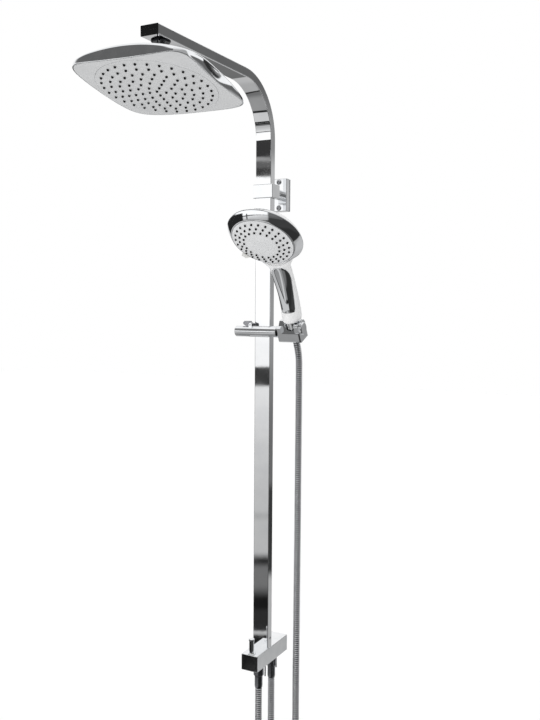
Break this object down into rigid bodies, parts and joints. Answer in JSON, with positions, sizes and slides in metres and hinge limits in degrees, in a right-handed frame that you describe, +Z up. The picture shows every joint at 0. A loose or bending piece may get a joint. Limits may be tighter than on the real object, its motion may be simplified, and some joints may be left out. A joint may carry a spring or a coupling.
{
  "type": "rainfall shower column",
  "caption": "Wall-mounted rainfall shower column: rectangular riser and overhead arm with a swivelling square rain head, a sliding handset holder with handset and hose, and a diverter block.",
  "frame": {"origin": "centre of the upper wall bracket's plate, on the wall", "axes": "+Z up, +Y into the wall, +X to the right as seen from the room; the arm reaches to -Y"},
  "size_m": [0.2179, 0.4778, 1.4863],
  "materials": {
    "chrome_tube": "polished chrome plate on drawn brass tube",
    "chrome_brass": "polished chrome plate on machined brass",
    "chrome_abs": "polished chrome plate on moulded ABS",
    "brass": "machined, unplated inside",
    "stainless": "turned stainless steel",
    "dark_chrome": "dark reflecting chrome",
    "satin_grey": "satin grey moulded plastic",
    "white_abs": "gloss white moulded ABS",
    "white_acetal": "white acetal",
    "black_plastic": "black moulded nylon",
    "silicone": "dark grey silicone",
    "rubber_seal": "black EPDM seal",
    "hose_steel": "double-lock stainless steel spiral"
  },
  "bodies": {
    "root": {"wall_plate": "stainless", "bracket_cover": "chrome_brass", "cover_screws": "stainless", "bracket_stem": "chrome_brass", "bracket_tee": "chrome_brass", "stem_grub_screw": "stainless", "arm_tube": "chrome_tube", "arm_end_cap": "chrome_brass", "riser_tube": "chrome_tube", "joint_sleeve": "brass", "joint_orings": "rubber_seal", "ball_stud": "chrome_brass", "ball_collar": "dark_chrome", "diverter_block": "chrome_brass", "diverter_gland": "chrome_brass", "post_spigot": "brass", "spigot_oring": "rubber_seal", "post_grub_screw": "stainless", "port_nipples": "brass", "hose_nuts": "dark_chrome", "hose_ferrules": "dark_chrome", "port_washers": "rubber_seal", "locking_pins": "stainless", "wall_spigot": "brass", "handset_hose": "hose_steel", "feed_hose": "hose_steel", "feed_nut": "chrome_brass"},
    "rain_seat": {"seat_ring": "white_acetal"},
    "rain_nut": {"socket_nut": "chrome_brass", "nut_oring": "rubber_seal"},
    "rain_head": {"head_back_shell": "chrome_abs", "head_fascia": "satin_grey", "head_face_plate": "satin_grey", "head_nozzles": "silicone", "head_water_plate": "white_abs"},
    "diverter": {"diverter_knob": "chrome_brass", "diverter_stem": "brass", "diverter_orings": "rubber_seal"},
    "slider": {"slider_body": "chrome_abs", "brake_shoe": "black_plastic", "lever_pin": "stainless", "holder_pivot": "stainless"},
    "clamp_lever": {"clamp_lever": "chrome_abs"},
    "holder": {"holder_cup": "chrome_abs", "cup_liner": "white_acetal", "friction_washer": "rubber_seal"},
    "tilt_knob": {"tilt_knob": "chrome_abs"},
    "hose_end": {"cone_nut": "chrome_brass", "handset_ferrule": "chrome_brass", "handset_washer": "rubber_seal"},
    "handset": {"handset_tail": "white_acetal", "handset_shell": "white_abs", "grip_insert": "chrome_abs", "handset_fascia": "chrome_abs", "spray_carrier": "white_abs"},
    "spray_face": {"spray_plate": "satin_grey", "spray_nozzles": "silicone", "spray_centre": "satin_grey", "selector_tab": "white_acetal"}
  },
  "joints": [
    {"name": "rain_tilt_x", "type": "hinge", "parent": "root", "child": "rain_seat", "pos_m": [0, -0.377, 0.152], "axis": [1, 0, 0], "range_deg": [-5, 26]},
    {"name": "rain_tilt_y", "type": "hinge", "parent": "rain_seat", "child": "rain_nut", "pos_m": [0, -0.377, 0.152], "axis": [0, 0.9836, -0.1805], "range_deg": [-15, 15]},
    {"name": "rain_spin", "type": "hinge", "parent": "rain_nut", "child": "rain_head", "pos_m": [0, -0.377, 0.152], "axis": [0, 0.1805, 0.9836], "continuous": true},
    {"name": "diverter_pull", "type": "slide", "parent": "root", "child": "diverter", "axis": [0, 0, 1], "range_m": [0, 0.008]},
    {"name": "slider_height", "type": "slide", "parent": "root", "child": "slider", "axis": [0, 0, 1], "range_m": [-0.5, 0.12], "deforming": ["handset_hose"]},
    {"name": "lever_release", "type": "hinge", "parent": "slider", "child": "clamp_lever", "pos_m": [-0.017, -0.081, -0.231], "axis": [0, 1, 0], "range_deg": [0, 60]},
    {"name": "holder_tilt", "type": "hinge", "parent": "slider", "child": "holder", "pos_m": [0.034, -0.0805, -0.2425], "axis": [1, 0, 0], "range_deg": [-12, 25]},
    {"name": "knob_turn", "type": "hinge", "parent": "holder", "child": "tilt_knob", "pos_m": [0.076, -0.08154, -0.23567], "axis": [1, 0, 0], "range_deg": [-90, 90]},
    {"name": "handset_lift", "type": "slide", "parent": "holder", "child": "hose_end", "axis": [0, -0.4384, 0.8988], "range_m": [0, 0.04]},
    {"name": "handset_swivel", "type": "hinge", "parent": "hose_end", "child": "handset", "pos_m": [0.058, -0.055, -0.265], "axis": [0, -0.4384, 0.8988], "range_deg": [-35, 45]},
    {"name": "spray_selector", "type": "hinge", "parent": "handset", "child": "spray_face", "pos_m": [0.058, -0.1857, -0.1016], "axis": [0, 0.592, 0.8059], "range_deg": [0, 120]}
  ]
}
